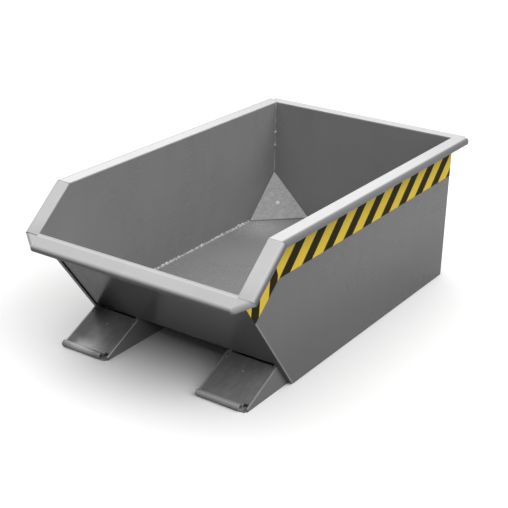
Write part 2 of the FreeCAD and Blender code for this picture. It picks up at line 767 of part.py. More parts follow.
striker_z = pivot_z + dim["hook_reach"]
striker_length = hook_rear + dim["hook_gap"] * 2 - rear
striker = rod("striker_shank", "y", (zero, rear, striker_z), dim["striker_radius"], striker_length)
striker_head = rod("striker_end", "y", (zero, rear + striker_length, striker_z), dim["striker_head"],
                   dim["striker_head_rise"])
node("latch_striker", striker)
node("latch_striker_head", striker_head)

# A drop pin behind each fork keeps the skip on the forklift.
for side, sign in SIDES:
    middle_x = inner_x + pocket_wide / 2
    x = middle_x if sign > 0 else -middle_x
    shank = rod(side + "_pin_shank", "z", (x, pin_y, dim["pin_lift"]), dim["pin_radius"],
                height + dim["pin_flange_rise"] + dim["pin_neck"] - dim["pin_lift"])
    collar = rod(side + "_pin_collar", "z", (x, pin_y, height), dim["pin_flange"], dim["pin_flange_rise"])
    handle_z = height + dim["pin_flange_rise"] + dim["pin_neck"]
    handle = rod(side + "_pin_handle", "x", (x - dim["pin_handle"] / 2, pin_y, handle_z),
                 dim["pin_handle_radius"], dim["pin_handle"])
    node(side + "_fork_pin", fuse(side + "_pin", shank, collar, handle))

doc.recompute()
faults = [item.Name for item in doc.Objects if {"Invalid", "Error"} & set(item.State)]
faults += [item.Label for item in nodes if item.Shape.isNull() or not item.Shape.isValid()]
if faults:
    raise SystemExit("not sound: " + ", ".join(faults))
os.makedirs("parts", exist_ok=True)
for item in nodes:
    item.Shape.exportStep(os.path.join("parts", item.Label + ".step"))
print(len(nodes), "nodes written")
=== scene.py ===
# %% [markdown]
# # A tipping skip, dressed
# A skip is a sheet steel tub for a forklift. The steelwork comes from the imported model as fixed
# nodes, in metres, with the ground at z = 0. This lesson gives every plate its finish, and adds
# what a plain solid lacks: weld beads, rivet heads, turned pins and a fluted knob. The frame is
# loaded first, because everything else is placed by it.

# %% Load the steelwork
import math

import bpy
import numpy as np
from mathutils import Matrix, Vector


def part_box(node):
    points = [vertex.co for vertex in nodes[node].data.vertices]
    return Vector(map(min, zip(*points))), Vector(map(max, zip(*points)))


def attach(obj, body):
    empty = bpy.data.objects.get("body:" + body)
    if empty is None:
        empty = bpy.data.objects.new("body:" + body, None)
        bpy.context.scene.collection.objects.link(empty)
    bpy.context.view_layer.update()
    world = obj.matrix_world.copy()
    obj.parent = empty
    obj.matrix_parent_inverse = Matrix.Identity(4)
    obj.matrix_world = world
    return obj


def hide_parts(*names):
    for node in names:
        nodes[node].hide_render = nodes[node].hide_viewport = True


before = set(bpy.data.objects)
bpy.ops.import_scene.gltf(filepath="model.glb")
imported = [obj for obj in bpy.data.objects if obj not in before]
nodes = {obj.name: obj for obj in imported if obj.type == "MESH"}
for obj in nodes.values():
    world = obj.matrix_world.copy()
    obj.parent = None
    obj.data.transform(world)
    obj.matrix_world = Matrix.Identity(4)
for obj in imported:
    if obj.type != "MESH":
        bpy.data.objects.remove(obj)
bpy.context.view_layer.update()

# %% [markdown]
# ## Camera
# The photograph looks down at the skip from its front right corner with a long lens, so the lines
# draw together only a little. A camera could be aimed with a constraint, but here its three axes
# are written out: back from the target, level along the ground and up, then a small roll.

# %% Camera at the photograph's angle
AZIMUTH, ELEVATION, ROLL = (math.radians(angle) for angle in (33.6, 23.1, 1.4))
TARGET = np.array((-0.0143, -0.0091, 0.1671))
DISTANCE = 3.1816
LENS, SENSOR = 83.08, 36.0


def towards(azimuth, elevation):
    """The direction to a viewer or a lamp, from its angle round the skip and above the ground."""
    flat = math.cos(elevation)
    return np.array((math.sin(azimuth) * flat, -math.cos(azimuth) * flat, math.sin(elevation)))


def placed(name, data):
    """A new object in the scene, at the origin."""
    made = bpy.data.objects.new(name, data)
    bpy.context.scene.collection.objects.link(made)
    return made


back = towards(AZIMUTH, ELEVATION)
level = np.array((math.cos(AZIMUTH), math.sin(AZIMUTH), 0.0))
upward = np.cross(back, level)
camera_x = math.cos(ROLL) * level + math.sin(ROLL) * upward
camera_y = math.cos(ROLL) * upward - math.sin(ROLL) * level
turn = Matrix([Vector(axis) for axis in (camera_x, camera_y, back)]).transposed().to_4x4()
camera = placed("camera", bpy.data.cameras.new("camera"))
camera.data.lens = LENS
camera.data.sensor_width = SENSOR
camera.matrix_world = Matrix.Translation(Vector(TARGET + DISTANCE * back)) @ turn
bpy.context.scene.camera = camera
print("camera at", [round(v, 3) for v in camera.matrix_world.translation])

# %% [markdown]
# ## Shader arithmetic
# A finish is a graph of nodes. Wiring it link by link hides what it says, so a small class wraps
# a socket and lets Python's own operators add the Math nodes.


# %% A value that can be calculated with
class Value:
    """One output of a shader node. Arithmetic on it adds a Math node and gives its output."""

    def __init__(self, owner, socket):
        self.owner = owner
        self.socket = socket

    def math(self, operation, *terms):
        return self.owner.add("ShaderNodeMath", {"operation": operation}, dict(enumerate(terms)))

    def __add__(self, other):
        return self.math("ADD", self, other)

    def __radd__(self, other):
        return self.math("ADD", other, self)

    def __sub__(self, other):
        return self.math("SUBTRACT", self, other)

    def __rsub__(self, other):
        return self.math("SUBTRACT", other, self)

    def __mul__(self, other):
        return self.math("MULTIPLY", self, other)

    def __rmul__(self, other):
        return self.math("MULTIPLY", other, self)

    def __mod__(self, other):
        return self.math("FLOORED_MODULO", self, other)

    def __lt__(self, other):
        return self.math("LESS_THAN", self, other)

    def __gt__(self, other):
        return self.math("GREATER_THAN", self, other)

    def __abs__(self):
        return self.math("ABSOLUTE", self)

    def least(self, other):
        return self.math("MINIMUM", self, other)

    def most(self, other):
        return self.math("MAXIMUM", self, other)

    def rise(self, low, high):
        """0 below low, 1 above high and a smooth step between."""
        inputs = {"Value": self, "From Min": low, "From Max": high}
        return self.owner.add("ShaderNodeMapRange", {"interpolation_type": "SMOOTHSTEP"}, inputs)

    def dimmed(self, *amounts):
        """This value times one minus each amount in turn."""
        left = self
        for amount in amounts:
            left = left * (1 - amount)
        return left


print("operators ready")

# %% [markdown]
# Every node that isn't arithmetic comes from one method. It sets the node up first, because some
# settings change which sockets there are, and then fills in or links the inputs.


# %% Nodes of any kind
class Nodes:
    """Adds nodes to one tree."""

    def __init__(self, tree):
        self.tree = tree

    def add(self, kind, settings=None, inputs=None, output=0):
        """Adds a node of any kind, with its settings first and then its inputs."""
        made = self.tree.nodes.new(kind)
        for name, value in (settings or {}).items():
            setattr(made, name, value)
        for name, value in (inputs or {}).items():
            self.fill(made.inputs[name], value)
        return Value(self, made.outputs[output])

    def fill(self, socket, value):
        """Links a value to a socket, or sets a plain number or colour on it."""
        if isinstance(value, Value):
            self.tree.links.new(value.socket, socket)
        else:
            socket.default_value = value


print("nodes ready")

# %% [markdown]
# ## What every finish shares
# Paint, tape, zinc and rubber differ in tone and grain, but each needs the same few things: a
# place on the piece, a noise, a colour scaled by a number and a bump. Sheet edges are never
# knife sharp, so the bump starts from a normal that is rounded over the last half millimetre.

# %% A finish
SOFT_EDGE = 0.0006
BLUE = 1.012


class Finish(Nodes):
    """A material in the making."""

    def __init__(self, name, **sockets):
        self.material = bpy.data.materials.new(name)
        self.material.use_nodes = True
        super().__init__(self.material.node_tree)
        self.shader = self.tree.nodes["Principled BSDF"]
        self.set(**sockets)

    def set(self, **sockets):
        """Fills the shader's own sockets; an underscore stands for a space."""
        for name, value in sockets.items():
            self.fill(self.shader.inputs[name.replace("_", " ")], value)

    def place(self, scale=(1, 1, 1)):
        """Object coordinates, stretched along each axis."""
        spot = self.add("ShaderNodeTexCoord", output="Object")
        return self.add("ShaderNodeMapping", {}, {"Vector": spot, "Scale": scale})

    def axes(self, names="XYZ"):
        """The named object coordinates as numbers, in metres."""
        spot = self.add("ShaderNodeTexCoord", output="Object")
        return [self.add("ShaderNodeSeparateXYZ", {}, {"Vector": spot}, name) for name in names]

    def noise(self, scale, detail=2.0, stretch=(1, 1, 1)):
        """A soft random number from 0 to 1; a larger stretch packs it closer along that axis."""
        inputs = {"Vector": self.place(stretch), "Scale": scale, "Detail": detail}
        return self.add("ShaderNodeTexNoise", {}, inputs, "Fac")

    def cells(self, scale):
        """Distance to the nearest of scattered points, for a grain of rounded cells."""
        inputs = {"Vector": self.place(), "Scale": scale}
        return self.add("ShaderNodeTexVoronoi", {}, inputs, "Distance")

    def shade(self, colour, amount):
        """A colour made darker or lighter by a number."""
        inputs = {"Vector": colour, "Scale": amount}
        return self.add("ShaderNodeVectorMath", {"operation": "SCALE"}, inputs)

    def mix(self, factor, first, second):
        """The first colour where the factor is 0, the second where it is 1."""
        inputs = {0: factor, 6: first, 7: second}
        return self.add("ShaderNodeMix", {"data_type": "RGBA"}, inputs, 2)

    def round_edges(self, radius):
        """A normal that turns smoothly over each edge."""
        return self.add("ShaderNodeBevel", {"samples": 6}, {"Radius": radius})

    def bump(self, height, strength, depth):
        """Relief from a height, on top of the rounded edges."""
        inputs = {"Height": height, "Strength": strength, "Distance": depth}
        inputs["Normal"] = self.round_edges(SOFT_EDGE)
        self.set(Normal=self.add("ShaderNodeBump", {}, inputs))

    def edges(self, radius):
        """1 along the edges of a plate, 0 on its flats: how far a rounded normal leaves the flat."""
        flat = self.add("ShaderNodeNewGeometry", output="Normal")
        inputs = {0: self.round_edges(radius), 1: flat}
        along = self.add("ShaderNodeVectorMath", {"operation": "DOT_PRODUCT"}, inputs, "Value")
        return (1 - along).rise(0.01, 0.2)


def grey(tone):
    """A neutral paint grey with a breath of blue."""
    return (tone, tone, tone * BLUE)


print("finish class ready")

# %% [markdown]
# ## Grey paint
# The plates carry one coat of semi-gloss grey with a little metal in it, so it mirrors its
# surroundings softly. Sprayed paint is never quite even: it clouds a little, runs and has a fine
# orange peel. Its edges are pale, partly rubbed bare and partly a painted highlight where they catch
# the light. A flat colour would look like plastic, so noises of different sizes carry the tone, the
# gloss and the bump.

# %% Sprayed paint
CLOUD_SCALE, GRAIN_SCALE, PEEL_SCALE, CHIP_SCALE = 4.0, 300.0, 450.0, 30.0
RUN_STRETCH, SCUFF_STRETCH = (26, 26, 5), (60, 22, 140)
PALE_EDGE_RADIUS, PALER, PALEST = 0.0015, 1.9, 0.8
PEEL_STRENGTH, PEEL_DEPTH = 0.06, 0.0008


def sprayed(finish, tone, roughness, mask=None, wear_and_highlight=0.5):
    """Tone times a cloud, runs and a fine grain, paler on the edges; gloss from the same cloud."""
    cloud = finish.noise(CLOUD_SCALE, 5.0)
    runs = finish.noise(1.0, 3.0, RUN_STRETCH)
    grain = finish.noise(GRAIN_SCALE, 1.0)
    scuffs = finish.noise(1.0, 2.0, SCUFF_STRETCH).rise(0.62, 0.74)
    amount = 0.84 + cloud * 0.18 + runs * 0.08 + grain * 0.05 + scuffs * 0.03
    if mask is not None:
        amount = amount * mask
    chips = finish.noise(CHIP_SCALE, 3.0).rise(0.3, 0.6)
    # Pale edges: partly wear, partly a painted highlight where the edges catch the light.
    edge_wear_and_highlight = finish.edges(PALE_EDGE_RADIUS) * chips * wear_and_highlight
    pale = (*grey(min(PALEST, tone * PALER)), 1)
    finish.set(Base_Color=finish.mix(edge_wear_and_highlight, finish.shade(grey(tone), amount), pale))
    finish.set(Roughness=roughness - 0.08 + cloud * 0.16 + grain * 0.05 + scuffs * 0.02)
    finish.bump(finish.noise(PEEL_SCALE, 1.0) + cloud * 0.5, PEEL_STRENGTH, PEEL_DEPTH)
    return finish.material


print("spray ready")

# %% [markdown]
# The two faces of a sheet get different painted shade, so the paint has to know inside from outside.
# Masks could be painted by hand, but the plates lie along the axes: the middle of each sheet's
# thickness, read from the boxes of the nodes, parts its faces. Only the front wall leans, and there
# a line in y and z does the same.

# %% Where the sheets lie
FRONT_LEAN, SKIN = 0.74143, 0.0005

floor_low, floor_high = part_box("floor_plate")
rear_low, rear_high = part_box("rear_wall")
_, front_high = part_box("front_wall")
_, side_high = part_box("right_side_wall")
wall_x, floor_z, rear_y, front_y = floor_high.x, floor_high.z, rear_low.y, front_high.y
half_sheet = (floor_z - floor_low.z) / 2
front_line = front_y + floor_z * FRONT_LEAN - half_sheet * math.hypot(1, FRONT_LEAN)
print("sheets", round(2 * half_sheet, 4), "m thick")

# %% [markdown]
# Outsides are painted darker as shade, most near the ground and towards the rear. The leaning front
# is smoother and its painted shade is eased, but it is painted dark at its left end. The left wall is
# painted darker as shade, and the floor is painted darker as shade, with painted reflections of the
# corner plates pale in its rear corners. Each of these is a share of the tone that is taken away, so
# that they can be laid over each other.

# %% Paint for the tub
SHEET_TONE, SHEET_ROUGHNESS, FRONT_SMOOTHER = 0.305, 0.26, 0.06
OUTSIDE_SHADE, LOW_SHADE, REAR_SHADE = 0.44, 0.13, 0.06
LOW_SHADE_Z, REAR_SHADE_Y, LEFT_X = (0.06, 0.26), (0.0, 0.5), (0.12, 0.26)
FRONT_EASE, LEFT_FRONT_SHADE, LEFT_WALL_SHADE = 0.36, 0.68, 0.15
FLOOR_SHADE, CORNER_REFLECTION, REFLECTION_X, REFLECTION_Y, REFLECTION_REACH = 0.12, 0.5, 0.245, 0.37, 0.13

sheet = Finish("sheet_paint", Metallic=0.1, Specular_IOR_Level=0.18)
x, y, z = sheet.axes()
front = y + z * FRONT_LEAN < front_line
on_side, on_rear = abs(x) > side_high.x - half_sheet, y > rear_high.y - half_sheet
outside = (on_side + on_rear + (z < floor_z - half_sheet) + front) > 0.5
# Each share below is painted shade, except the pale rear floor corners, which are a painted
# reflection.
low_down, rearward, leftward = 1 - z.rise(*LOW_SHADE_Z), y.rise(*REAR_SHADE_Y), (0 - x).rise(*LEFT_X)
front_shade_eased = front * (FRONT_EASE - leftward * LEFT_FRONT_SHADE)
outside_shade = outside * (OUTSIDE_SHADE + LOW_SHADE * low_down + rearward * REAR_SHADE) - front_shade_eased
left_wall_shade = (x < SKIN - wall_x) * LEFT_WALL_SHADE
reflection_x = 1 - abs(abs(x) - REFLECTION_X).rise(0.0, REFLECTION_REACH)
reflection_y = 1 - abs(y - REFLECTION_Y).rise(0.0, REFLECTION_REACH)
floor_shade = (1 - outside) * (z < floor_z + SKIN) * (FLOOR_SHADE - reflection_x * reflection_y * CORNER_REFLECTION)
sheet_mask = (1 - outside_shade).dimmed(left_wall_shade, floor_shade)
sheet_paint = sprayed(sheet, SHEET_TONE, SHEET_ROUGHNESS - front * FRONT_SMOOTHER, sheet_mask)
print("tub paint made")

# %% [markdown]
# The base has the same paint, a little darker. Its pocket plates are cut along the slope of the
# toes, and there the edge is painted pale: a little rubbed bare on every plate, and a painted
# highlight on the plates whose edges face the light from the right, most of all on the left toe's
# inner plate. The outer plate on the right is painted darker below its edge, as shade. The slope's
# height over the ground is a straight line in y, so the edge is simply whatever reaches up to that
# line.

# %% Paint for the base
BASE_TONE, BASE_ROUGHNESS, BASE_WEAR_AND_HIGHLIGHT = 0.25, 0.32, 0.95
BARE, HIGHLIGHT_RIGHT, HIGHLIGHT_INNER, EDGE_DEPTH = 0.2, 0.25, 0.9, (-0.0012, -0.0006)
OUTER_PLATE_SHADE, OUTER_PLATE_REACH, INNER_X = 0.36, 0.007, 0.2
TOE_FOOT, TOE_RUN = 0.008, 0.12306

plate_low, plate_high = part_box("right_outer_pocket_plate")
toe_rise = plate_high.z - TOE_FOOT

base = Finish("base_paint", Metallic=0.1, Specular_IOR_Level=0.25)
x, y, z = base.axes()
slope_z = TOE_FOOT + (y - plate_low.y) * (toe_rise / TOE_RUN)
cut_edge = (z - slope_z).rise(*EDGE_DEPTH)
# Painted highlight on edges that face the light from the right, over a little wear everywhere; painted
# shade on the right outer plate.
right_outer = x > plate_low.x - OUTER_PLATE_REACH
left_inner = (x > -INNER_X) * (x < 0.0)
outer_plate_shade = right_outer * (1 - cut_edge) * OUTER_PLATE_SHADE
bare_and_highlight = BARE + HIGHLIGHT_RIGHT * right_outer + HIGHLIGHT_INNER * left_inner
base_paint = sprayed(base, BASE_TONE, BASE_ROUGHNESS, 1 - outer_plate_shade + cut_edge * bare_and_highlight, BASE_WEAR_AND_HIGHLIGHT)
print("base paint made, slope", round(toe_rise / TOE_RUN, 3))

# %% [markdown]
# Each ramp is painted pale in a soft oval near its lip, a painted highlight and reflection, the left
# one far more, and the rolled lip itself is painted pale as a highlight, mostly on the right toe.
# Smears run over both. The left toe is painted darker along its outer edge and above the oval, as
# shade. Each of these is a smooth step away from a line or a point, which is easy to move and to
# soften.

# %% Paint for the toes
TOE_TONE, TOE_ROUGHNESS, TOE_WEAR_AND_HIGHLIGHT = 0.19, 0.3, 0.8
LIP_Y, ROLL_Y, LEFT_EDGE_X = -0.462, -0.469, -0.245
OVAL_X, OVAL_HIGHLIGHT = (-0.225, 0.2), (1.25, 0.1)
OVAL_HALF, OVAL_REACH = 0.07, (-0.012, 0.03)
SHADE_ABOVE, ABOVE_X, ABOVE_Y = 0.7, (-0.045, 0.02), (-0.004, 0.026)
SHADE_EDGE, EDGE_X, EDGE_Y = 0.6, (-0.002, 0.022), (-0.001, 0.004)
ROLL_HIGHLIGHT, ROLL_HIGHLIGHT_RIGHT, ROLL_HIGHLIGHT_Y = 0.15, 0.55, (0.004, 0.009)
SMEAR, SMEAR_STRETCH = 0.2, (70, 38, 38)

toe = Finish("toe_paint", Metallic=0.15, Specular_IOR_Level=0.2)
x, y = toe.axes("XY")
# Painted highlight and reflection on the ramps and rolled lips; painted shade on the left toe.
left_oval, right_oval = (1 - abs(x - middle_x).rise(0.0, OVAL_HALF) for middle_x in OVAL_X)
near_lip = 1 - (y - LIP_Y).rise(*OVAL_REACH)
patchy = 0.7 + toe.noise(30.0, 4.0) * 0.6
lip_highlight = near_lip * (left_oval * OVAL_HIGHLIGHT[0] + right_oval * OVAL_HIGHLIGHT[1]) * patchy
past_edge = LEFT_EDGE_X - x
shade_above = past_edge.rise(*ABOVE_X) * (y - LIP_Y).rise(*ABOVE_Y) * SHADE_ABOVE
shade_edge = past_edge.rise(*EDGE_X) * (y - ROLL_Y).rise(*EDGE_Y) * SHADE_EDGE
roll_highlight = (ROLL_Y - y).rise(*ROLL_HIGHLIGHT_Y) * (ROLL_HIGHLIGHT + (x > 0.0) * ROLL_HIGHLIGHT_RIGHT)
smears = toe.noise(1.0, 4.0, SMEAR_STRETCH).rise(0.36, 0.74) * SMEAR
toe_mask = (1 + lip_highlight + roll_highlight + smears).dimmed(shade_above.most(shade_edge))
toe_paint = sprayed(toe, TOE_TONE, TOE_ROUGHNESS, toe_mask, TOE_WEAR_AND_HIGHLIGHT)
print("toe paint made")

# %% [markdown]
# ## Rim
# The rim's flat top is painted much paler than the turned-down edge, which keeps the grey of the
# walls: a painted highlight for the light from above. On the sides and the rear the change follows
# the distance outward from the tub, and on the front rail the distance down the slope. A pattern for
# each rail would need fitting at the corners, but the same few distances serve all six rails. The
# slope's own axes come first, because the tape uses them too.

# %% Along the nose
rail_low, rail_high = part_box("right_rim_rail")
nose_low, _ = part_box("right_nose_rail")
_, cap_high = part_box("right_rim_cap")
rear_rail_low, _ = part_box("rear_rim_rail")
rim_top, nose_start = rail_high.z, rail_low.y
nose_run, nose_drop = nose_start - nose_low.y, rim_top - cap_high.z
nose_slant = math.hypot(nose_run, nose_drop)
nose_bend = nose_drop / (nose_slant + nose_run)


def along_nose(ahead, below):
    """Distance down the nose, from the distances ahead of and below its bend."""
    return ahead * (nose_run / nose_slant) + below * (nose_drop / nose_slant)


def past_bend(ahead, below):
    """Distance past the line that halves the bend."""
    return ahead + below * nose_bend


print("nose", round(nose_run, 4), "m ahead and", round(nose_drop, 4), "m down")

# %% [markdown]
# The top of the rim is painted pale as a highlight, and everything else on it is that tone with a
# share taken away as painted shade: most on the turned-down lips, a little on the slope and towards
# the rear. Only the front rail's inner edge is paler still, a painted highlight along its bend.

# %% Painted light and shade on the rim
SIDE_SHADE, SIDE_TURN, NOSE_SHIFT = 0.7, (0.0305, 0.039), 0.006
FRONT_SHADE, FRONT_TURN = 0.68, (0.0315, 0.0385)
SLOPE_SHADE, SLOPE_END_SHADE, SLOPE_END = 0.16, 0.1, (0.1, 0.16)
RIM_REAR_SHADE, REAR_Y = 0.16, (0.0, 0.54)
INNER_HIGHLIGHT, INNER_EDGE = 0.2, (0.001, 0.004)

rim = Finish("rim_paint", Metallic=0.15, Specular_IOR_Level=0.12)
x, y, z = rim.axes()
ahead, below = nose_start - y, rim_top - z
down_slope = along_nose(ahead, below)
bend = past_bend(ahead, below)
on_nose, on_front = bend > 0.0, down_slope > nose_slant
between = abs(x) < rail_low.x
outward = (abs(x) - rail_low.x).most(y - rear_rail_low.y)
# Painted shade on the lips, the slope and the rear; a painted highlight on the front rail's inner
# edge.
side_lip_shade = (outward - on_nose * NOSE_SHIFT).rise(*SIDE_TURN) * (1 - on_front) * SIDE_SHADE
past_nose = down_slope - nose_slant
front_lip_shade = past_nose.rise(*FRONT_TURN) * FRONT_SHADE
slope_shade = on_nose * (SLOPE_SHADE + down_slope.rise(*SLOPE_END) * SLOPE_END_SHADE)
shaded_rear = y.rise(*REAR_Y) * RIM_REAR_SHADE
inner_highlight = between * (1 - abs(past_nose).rise(*INNER_EDGE)) * INNER_HIGHLIGHT
rim_light_and_shade = (1 + inner_highlight).dimmed(side_lip_shade, front_lip_shade, slope_shade, shaded_rear)
print("rim worn from", SIDE_TURN[0], "m inwards")

# %% [markdown]
# Where two rails meet, a ground weld leaves a fine dark seam, clearer on the left. The seams are
# the places where one of three distances is near zero: to the bend, to the mitre at the rear
# corners and to the end of the nose. The smallest of the three draws them all at once.

# %% Paint for the rim
# The rim's pale tone is a painted highlight for the light from above; the seams are real dark joints.
RIM_TONE, RIM_ROUGHNESS = 0.62, 0.36
SEAM_GREY, LEFT_SEAM_GREY, SEAM_HALF = 0.5, 0.35, (0.0004, 0.0014)
MITRE_FAINTER, NOSE_END_SHIFT = 0.0005, 0.0003

mitre = abs(x) - y - (rail_low.x - rear_rail_low.y)
nose_end = past_nose - NOSE_END_SHIFT + between
nearest = abs(bend).least(abs(mitre) + MITRE_FAINTER).least(abs(nose_end))
seam = (1 - nearest.rise(*SEAM_HALF)) * (SEAM_GREY + (x < 0.0) * LEFT_SEAM_GREY)
rim_mask = rim_light_and_shade.dimmed(seam)
rim_paint = sprayed(rim, RIM_TONE, RIM_ROUGHNESS, rim_mask)
print("rim paint made")

# %% [markdown]
# ## Brushed corner plates
# The corner plates are a little paler, with short level lines across them from the brush or the
# grinder. Lines can be drawn one by one, but a noise squeezed hard along z gives the same uneven
# spacing at no cost.

# %% Paint for the corner plates
CORNER_TONE, CORNER_ROUGHNESS = 0.32, 0.34
LINE_STRETCH, HAIR_STRETCH = (75, 75, 290), (70, 70, 1000)

corner_paint = Finish("corner_paint", Metallic=0.1, Specular_IOR_Level=0.3)
lines = corner_paint.noise(1.0, 2.0, LINE_STRETCH)
hairlines = corner_paint.noise(1.0, 3.0, HAIR_STRETCH)
mottle = corner_paint.noise(22.0, 3.0)
corner_amount = 0.2 + lines * 1.15 + hairlines * 0.25 + mottle * 0.1
corner_paint.set(Base_Color=corner_paint.shade(grey(CORNER_TONE), corner_amount))
corner_paint.set(Roughness=CORNER_ROUGHNESS + lines * 0.2)
corner_paint.bump(lines + hairlines * 0.5, 0.3, 0.0008)
print("corner plates finished")

# %% [markdown]
# ## Hazard tape
# Yellow and black tape runs under the rim and, as a second length, down the nose. Its stripes
# lean at 45 degrees to each length. The stripes could be cut as strips of mesh, but one formula
# gives both lengths: a stripe number from the distance along the tape and the depth under the
# rim, taken in the slope's own axes on the nose.

# %% Striped tape
PITCH, BLACK_WIDTH = 0.097, 0.0465
LEVEL_START, NOSE_OFFSET = 0.262, 0.032
YELLOW, BLACK = (1.0, 0.725, 0.085, 1), (0.018, 0.015, 0.003, 1)

tape = Finish("hazard_tape", Specular_IOR_Level=0.06)
y, z = tape.axes("YZ")
ahead, below = nose_start - y, rim_top - z
under_slope = below * (nose_run / nose_slant) - ahead * (nose_drop / nose_slant)
level_black = (y + below + LEVEL_START) % PITCH < BLACK_WIDTH
nose_black = (along_nose(ahead, below) - under_slope - NOSE_OFFSET) % PITCH < BLACK_WIDTH
on_nose = past_bend(ahead, below) > 0.0
black = level_black * (1 - on_nose) + nose_black * on_nose
print_grain = tape.noise(900.0, 1.0)
wrinkle = tape.noise(16.0, 4.0)
tape_amount = 0.86 + wrinkle * 0.18 + print_grain * 0.08
tape.set(Base_Color=tape.shade(tape.mix(black, YELLOW, BLACK), tape_amount))
tape.set(Roughness=0.5 + print_grain * 0.1 + black * 0.12)
tape.bump(wrinkle + print_grain * 0.2, 0.12, 0.0006)
print("tape pitch", PITCH, "m")

# %% [markdown]
# ## Small hardware
# Pins, bolts and rods are zinc plated steel, the rest pads are rubber and the latch's knob is a
# moulded plastic. Each has its own grain: a spangle and turned rings on the zinc, a fine pebble on
# the rubber and the plastic. Scattered cells give both, only at different sizes.

# %% Zinc, rubber and moulded plastic
ZINC_TONE, SPANGLE_SCALE, RING_STRETCH = 0.38, 320.0, (40, 40, 1800)

zinc = Finish("zinc", Metallic=1.0)
spangle = zinc.cells(SPANGLE_SCALE)
rings = zinc.noise(1.0, 1.0, RING_STRETCH)
zinc.set(Base_Color=zinc.shade(grey(ZINC_TONE), 0.85 + spangle * 0.3 + rings * 0.12))
zinc.set(Roughness=0.3 + spangle * 0.2)
zinc.bump(rings + spangle, 0.15, 0.0004)


def dark(name, tone, grain, roughness):
    """A dark material: a hazy tone with a pebble grain."""
    finish = Finish(name, Specular_IOR_Level=0.3)
    pebble = finish.cells(grain)
    haze = finish.noise(40.0, 3.0)
    finish.set(Base_Color=finish.shade(grey(tone), 0.7 + haze * 0.6))
    finish.set(Roughness=roughness + pebble * 0.2)
    finish.bump(pebble, 0.3, 0.0005)
    return finish.material


rubber = dark("rubber", tone=0.022, grain=900.0, roughness=0.7)
knob_plastic = dark("knob_plastic", tone=0.018, grain=1400.0, roughness=0.4)
print("hardware finishes made")

# %% [markdown]
# ## Finishes on the steelwork
# A node keeps its shape from the solid model and only changes its material. The names say what
# each plate is, so a short list of name parts is enough to sort them. The first part that fits
# counts, and the empty one at the end takes all that is left.

# %% Dress the nodes
FINISHES = (
    ("tape", tape.material),
    ("gusset", corner_paint.material),
    ("rail", rim_paint),
    ("rim_cap", rim_paint),
    ("rest_pads", rubber),
    ("hinge_lugs", toe_paint),
    ("hinge_rod", zinc.material),
    ("striker", zinc.material),
    ("toe_ramp", toe_paint),
    ("pocket", base_paint),
    ("tube", base_paint),
    ("latch", base_paint),
    ("", sheet_paint),
)
for name, plate in nodes.items():
    material = next(finish for part, finish in FINISHES if part in name)
    plate.data.materials.clear()
    plate.data.materials.append(material)
print(len(nodes), "nodes dressed")

# %% [markdown]
# ## New pieces
# Beads, rivets, pins and knobs are all rings of points carried along a line. Two helpers serve
# them all: one joins neighbouring rings with faces and closes both ends, the other gathers the
# shapes of a piece in one mesh that rides on a body of the model.

# %% Rings into meshes
SHARP = math.radians(40)


def ring_faces(rings, count):
    """Quads between neighbouring closed rings of count points, and a face over each end."""
    ring, corner = np.meshgrid(np.arange(rings - 1), np.arange(count), indexing="ij")
    here, there = ring * count + corner, ring * count + (corner + 1) % count
    quads = np.stack((here, there, there + count, here + count), -1).reshape(-1, 4)
    first, last = np.arange(count)[::-1], np.arange(count) + (rings - 1) * count
    return quads, first, last


def piece(name, shapes, material, body, slot, *replaced):
    """One object from shapes, each an array of rings by points by three coordinates."""
    points, faces, shift = [], [], 0
    for rings in shapes:
        quads, first, last = ring_faces(*rings.shape[:2])
        faces += (quads + shift).tolist() + [(first + shift).tolist(), (last + shift).tolist()]
        points.append(rings.reshape(-1, 3))
        shift += len(points[-1])
    mesh = bpy.data.meshes.new(name)
    mesh.from_pydata(np.vstack(points).tolist(), [], faces)
    mesh.polygons.foreach_set("use_smooth", np.ones(len(mesh.polygons), bool))
    mesh.set_sharp_from_angle(angle=SHARP)
    mesh.materials.append(material)
    made = placed(name, mesh)
    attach(made, body)
    if replaced:
        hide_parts(*replaced)
    print(name, len(shapes), "shapes,", len(mesh.polygons), "faces")


# %% [markdown]
# ## Weld beads
# The sheets are joined by a run of weld in each inside corner. A bead is a small convex fillet
# whose size swells and shrinks with each drop of metal. It is one profile carried along the
# seam: the profile lies along the two faces of the corner, and its size follows the seam.

# %% A bead in a corner
ARC_POINTS, STEPS_PER_DROP, FEWEST_STEPS = 9, 6, 8
ROUNDNESS, BEHIND = 0.8, 0.06
MEAN_SIZE, RIPPLE, LUMP, SIZE_LIMITS = 0.45, 0.5, 0.35, (0.2, 1.6)
END_SIZE, END_GROWTH = 0.3, 40


